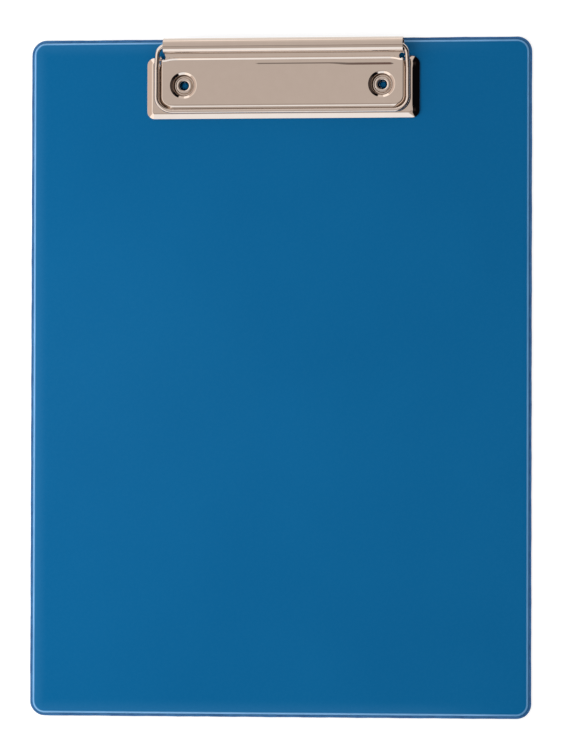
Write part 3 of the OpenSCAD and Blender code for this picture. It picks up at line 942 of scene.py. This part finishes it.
# How far the bail is bent from its true shape: its front run forward, and its arms in
# towards each other, both where they lie level and where they enter the spine
RUN_FORWARD = 0.3 * MM
RUN_FADE = 12 * MM
LEVEL_IN = {"left": 0.65 * MM, "right": 0.10 * MM}
LEVEL_FROM = 3 * MM
LEVEL_FADE = 6 * MM
SPINE_IN = {"left": 1.5 * MM, "right": 0.15 * MM}
LEAN_FROM_Y = SPINE_Y - KINK_REACH - 1.5 * MM
LEAN_TO_Y = SPINE_Y - 2.0 * MM


def bail_path():
    """Legs of the wire: (length,) is a straight, (radius, angle, turn) a bend."""
    bail_w = BAIL_HI.x - BAIL_LO.x - 2 * WIRE_R
    offset = (BAIL_LO.x + BAIL_HI.x) / 2 - CLIP_X
    bail_z = BAIL_LO.z + WIRE_R
    kink = math.atan((SPINE_Z - bail_z) / KINK_REACH)
    tangent = KINK_R * math.tan(kink / 2)
    incline = math.hypot(KINK_REACH, SPINE_Z - bail_z) - SPINE_BEND_R - tangent
    crank_offset = BORE_R - BAIL_CLEAR - WIRE_R
    sine, cosine = math.sin(CRANK_ANGLE), math.cos(CRANK_ANGLE)
    crank_r = (crank_offset - CRANK_MID * sine) / (2 * (1 - cosine))
    crank_span = 2 * crank_r * sine + CRANK_MID * cosine
    step_foot_x = PANEL_W / 2 + STEP_RUN
    run_margin = PANEL_FRONT_Y - STEP_RUN - RUN_Y
    quarter = math.pi / 2

    def corner(arm_x):
        gap = (arm_x - step_foot_x + run_margin) / math.sqrt(2) - CORNER_MARGIN
        return PANEL_R + STEP_RUN + gap / (math.sqrt(2) - 1)

    def level(corner_r):
        return (SPINE_Y - KINK_REACH - RUN_Y - tangent - corner_r,)

    def end(arm_x):
        return (arm_x - SPINE_BEND_R - CRANK_LEAD - crank_span - END_GAP / 2,)

    left_x, right_x = bail_w / 2 - offset, bail_w / 2 + offset
    left_r, right_r = corner(left_x), corner(right_x)
    crank = [(crank_r, CRANK_ANGLE, 0), (CRANK_MID,), (crank_r, CRANK_ANGLE, math.pi)]
    legs = [end(left_x), *crank, (CRANK_LEAD,), (SPINE_BEND_R, quarter, quarter - kink),
            (incline,), (KINK_R, kink, quarter), level(left_r), (left_r, quarter, -quarter),
            (bail_w - left_r - right_r,), (right_r, quarter, 0), level(right_r),
            (KINK_R, kink, quarter), (incline,), (SPINE_BEND_R, quarter, -quarter),
            (CRANK_LEAD,), (crank_r, CRANK_ANGLE, quarter + kink), (CRANK_MID,),
            (crank_r, CRANK_ANGLE, math.pi), end(right_x)]
    start = Vector((CLIP_X - END_GAP / 2, SPINE_Y, SPINE_Z - crank_offset))
    return start, legs


def lean(place):
    """A point of the wire, moved by how far the bail is bent there."""
    side, inward = ("left", 1) if place.x < CLIP_X else ("right", -1)
    past_corner = smooth_step((place.y - RUN_Y - LEVEL_FROM) / LEVEL_FADE)
    at_spine = smooth_step((place.y - LEAN_FROM_Y) / (LEAN_TO_Y - LEAN_FROM_Y))
    level_in = LEVEL_IN[side] * past_corner
    reach = level_in + (SPINE_IN[side] - level_in) * at_spine
    forward = RUN_FORWARD * smooth_step((LEAN_FROM_Y - place.y) / RUN_FADE)
    return Vector((place.x + inward * reach, place.y - forward, place.z))


def leaned(stations):
    """The stations after leaning, with directions taken anew along them."""
    places = [lean(place) for place, _ in stations]
    ahead = [(places[min(i + 1, len(places) - 1)] - places[max(i - 1, 0)]).normalized()
             for i in range(len(places))]
    return list(zip(places, ahead))


def walk(start, legs):
    """Centre points and directions along the legs. The wire sets off towards -X."""
    place = Matrix.Translation(start) @ Matrix.Rotation(-math.pi / 2, 4, "Y")
    stations = []

    def note(m):
        stations.append((m.to_translation(), (m.to_3x3() @ UP).normalized()))

    note(place)
    for leg in legs:
        if len(leg) == 1:
            steps = max(1, math.ceil(leg[0] / (3 * MM)))
            for i in range(1, steps + 1):
                note(place @ Matrix.Translation((0, 0, leg[0] * i / steps)))
            place = place @ Matrix.Translation((0, 0, leg[0]))
        else:
            radius, angle, turn = leg
            place = place @ Matrix.Rotation(turn, 4, "Z")
            steps = max(3, math.ceil(math.degrees(angle) / 5))
            for i in range(1, steps + 1):
                bent = (place @ Matrix.Translation((radius, 0, 0))
                        @ Matrix.Rotation(angle * i / steps, 4, "Y")
                        @ Matrix.Translation((-radius, 0, 0)))
                note(bent)
            place = bent
    return stations


def make_tube(stations, radius, sides, chamfer):
    """A round tube along the stations, with lightly chamfered flat ends."""
    (p0, d0), (p1, d1) = stations[0], stations[-1]
    stations = ([(p0, d0), (p0 + d0 * chamfer, d0)] + stations[1:-1]
                + [(p1 - d1 * chamfer, d1), (p1, d1)])
    radii = [radius - chamfer] + [radius] * (len(stations) - 2) + [radius - chamfer]
    side = UP.cross(stations[0][1]).normalized()
    verts, faces = [], []
    for (place, ahead), r in zip(stations, radii):
        side = (side - ahead * side.dot(ahead)).normalized()
        other = ahead.cross(side)
        verts += [place + side * (r * math.cos(a)) + other * (r * math.sin(a))
                  for a in (2 * math.pi * i / sides for i in range(sides))]
    for k in range(len(stations) - 1):
        here, there = k * sides, (k + 1) * sides
        faces += band(range(here, here + sides), range(there, there + sides))
    faces.append(tuple(reversed(range(sides))))
    last = (len(stations) - 1) * sides
    faces.append(tuple(last + i for i in range(sides)))
    return verts, faces


# ================================================================ rivets and slugs
def rivet_profile():
    """Half section of a tubular rivet, as a closed loop of (r, z)."""
    low, high = RIVET_BOXES["left"]
    bore, shank, flange = RIVET_BORE_D / 2, SHANK_D / 2, (high.x - low.x) / 2
    collar_z = BOARD_TOP + SHEET_T
    roll = COLLAR_H / 2
    roll_w = 0.92 * MM
    roll_x = COLLAR_D / 2 - roll_w
    edge = 0.12 * MM
    profile = [(bore + 0.45 * MM, 0), (flange - edge, 0), (flange - 0.3 * edge, 0.3 * edge),
               (flange, edge), (flange, FLANGE_T), (shank, FLANGE_T), (shank, collar_z)]
    profile += [(roll_x + roll_w * math.cos(a), collar_z + roll + roll * math.sin(a))
                for a in (math.pi * (-0.5 + 1.5 * i / 24) for i in range(25))]
    mouth_r, mouth_z = roll_x - roll_w, collar_z + roll
    throat_z = BOARD_TOP - 1.2 * MM
    profile += [(bore + (mouth_r - bore) * (1 - t), mouth_z + (throat_z - mouth_z) * t)
                for t in (0.15, 0.3, 0.45, 0.6, 0.75, 0.9, 1.0)]
    profile += [(bore, 0.45 * MM), (bore + 0.06 * MM, 0.22 * MM), (bore + 0.2 * MM, 0.07 * MM)]
    return profile


def slug_profile():
    """Half section of a slug: the film's disc is drawn down at its cut edge."""
    r = RIVET_BORE_D / 2 - 0.01 * MM
    top, bottom = BOARD_TOP - 1.0 * MM, FLANGE_T
    crest = [(r * t, top - 0.8 * MM * t ** 5) for t in (1.0, 0.95, 0.9, 0.82, 0.7, 0.5, 0.25, 0.0)]
    return [(0, bottom), (r - 0.1 * MM, bottom), (r, bottom + 0.1 * MM), *crest]


# ================================================================ the pieces
make_film("face_film", "front_film", False, CUP_HOLE_R)
make_film("rear_film", "back_film", True, FLANGE_HOLE_R)

plate_verts, plate_faces, plate_normals = make_clip_plate()
plate = new_piece("pressed_plate", plate_verts, plate_faces, "board", "nickel_plate",
                  plate_nickel, corner_normals=plate_normals)
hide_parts("clip_plate")

wire_verts, wire_faces = make_tube(leaned(walk(*bail_path())), WIRE_R, 32, 0.15 * MM)
bail = new_piece("wire_bow", wire_verts, wire_faces, "bail", "nickel_wire", wire_nickel)
tidy_normals(bail, 40)
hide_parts("wire_bail")

for side, centre in RIVETS.items():
    tube = new_piece(f"tube_rivet_{side}", *lathe(rivet_profile(), centre, 64), "board",
                     "nickel_rivet", rivet_nickel)
    tidy_normals(tube, 38)
    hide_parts(f"rivet_{side}")
    disc = new_piece(f"film_slug_{side}", *lathe(slug_profile(), centre, 48), "board",
                     "film", film)
    tidy_normals(disc, 50)
    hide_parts(f"slug_{side}")

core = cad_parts["board_core"]
core.data.materials.clear()
core.data.materials.append(greyboard)


# ================================================================ stage
WHITE = (1.0, 1.0, 1.0)
FLOOR_GREY = (0.42, 0.42, 0.42)
FLOOR_GLOW = 0.80
FLOOR_SIZE = 24.0
FLOOR_Z = -0.2 * MM
WORLD_LIGHT = 0.54

CEILING = (0.765, 0.709, 0.683)
SHADE = (0.640, 0.588, 0.560)
BAR_LEFT = (0.26, 0.235, 0.225)
BAR_RIGHT = (0.17, 0.065, 0.050)
FRONT_CARD = (1.34, 1.40, 1.49)
BACK_MID = (0.91, 0.845, 0.81)
BACK_CARD = (1.28, 1.19, 1.15)
LEFT_CARD = (0.92, 0.79, 0.73)
LEFT_STRIP = (1.66, 1.59, 1.55)
BLACK_CARD = (0.004, 0.004, 0.005)
BROWN_CARD = (0.085, 0.065, 0.060)
DOME_R = 3.2
DOME_FOOT_Z = -0.05


def stage_piece(name, mesh, graph, surface, material):
    """A piece of the stage, whose material ends in the surface given."""
    graph.add("OutputMaterial", {"Surface": surface})
    mesh.materials.append(material)
    piece = bpy.data.objects.new(name, mesh)
    bpy.context.scene.collection.objects.link(piece)
    return piece


def make_floor():
    """White paper floor. Seen or mirrored it is partly its own white, so it keeps a shadow."""
    material = bpy.data.materials.new("floor")
    graph = Graph(material, cleared=True)
    glow = graph.add("Emission", {"Color": WHITE,
                                  "Strength": graph.seen_or_mirrored(FLOOR_GLOW, 0.0)})
    surface = graph.add("AddShader", {0: graph.add("BsdfDiffuse", {"Color": FLOOR_GREY}), 1: glow})
    half = FLOOR_SIZE / 2
    mesh = bpy.data.meshes.new("floor")
    mesh.from_pydata([(-half, -half, FLOOR_Z), (half, -half, FLOOR_Z),
                      (half, half, FLOOR_Z), (-half, half, FLOOR_Z)], [], [(0, 1, 2, 3)])
    stage_piece("floor", mesh, graph, surface, material)


def make_world():
    """A white world, which lights the object less than it shows."""
    world = bpy.data.worlds.new("world")
    bpy.context.scene.world = world
    graph = Graph(world)
    background = graph.nodes["Background"]
    background.inputs["Color"].default_value = (*WHITE, 1.0)
    graph.links.new(graph.seen_or_mirrored(1.0, WORLD_LIGHT), background.inputs["Strength"])


def card_colour(graph):
    """The colour of the studio cards, zone over zone, by the angle from the vertical."""
    across, along = [graph.times(graph.calc("ARCTAN2", graph.along(axis), graph.along("Z")),
                                 180 / math.pi) for axis in ("X", "Y")]
    ease, times, blend = graph.ease, graph.times, graph.blend
    colour = blend(ease(along, -7, -13), CEILING, SHADE)
    bar = times(ease(along, -6.5, -8.0), ease(along, -13.5, -11.5))
    colour = blend(bar, colour, blend(ease(across, -9, -5), BAR_LEFT, BAR_RIGHT))
    strip = times(ease(across, -27, -33), ease(across, -61, -57))
    for zone, card in ((ease(along, -49, -53), FRONT_CARD), (ease(along, 30, 64), BACK_MID),
                       (ease(along, 62, 90), BACK_CARD), (ease(across, -52, -60), LEFT_CARD),
                       (strip, LEFT_STRIP), (ease(across, 13, 22), BLACK_CARD),
                       (ease(across, 42, 52), BROWN_CARD)):
        colour = blend(zone, colour, card)
    return colour


def make_dome():
    """Studio cards round the object, seen only in its reflections: one dome with zones."""
    material = bpy.data.materials.new("cards")
    graph = Graph(material, cleared=True)
    glow = graph.add("Emission", {"Color": card_colour(graph)})
    work = bmesh.new()
    bmesh.ops.create_uvsphere(work, u_segments=64, v_segments=32, radius=DOME_R)
    low = [v for v in work.verts if v.co.z < DOME_FOOT_Z]
    bmesh.ops.delete(work, geom=low, context="VERTS")
    mesh = bpy.data.meshes.new("cards")
    work.to_mesh(mesh)
    work.free()
    dome = stage_piece("cards", mesh, graph, glow, material)
    dome.visible_camera = False
    dome.visible_diffuse = False
    dome.visible_transmission = False
    dome.visible_shadow = False
    dome.visible_volume_scatter = False


def make_lamp(name, place, size, power):
    """A strip lamp that points at the board's middle and isn't mirrored in the metal."""
    data = bpy.data.lights.new(name, "AREA")
    data.shape = "RECTANGLE"
    data.size, data.size_y = size
    data.energy = power
    lamp = bpy.data.objects.new(name, data)
    lamp.location = place
    lamp.rotation_euler = (Vector() - Vector(place)).to_track_quat("-Z", "Y").to_euler()
    lamp.visible_glossy = False
    bpy.context.scene.collection.objects.link(lamp)


make_floor()
make_world()
make_dome()
make_lamp("left_strip", place=(-0.45, 0.0, 0.40), size=(0.12, 0.90), power=2.45)
make_lamp("front_strip", place=(0.0, -0.85, 0.55), size=(0.90, 0.10), power=0.8)
make_camera()
bpy.context.scene.view_settings.view_transform = "Standard"
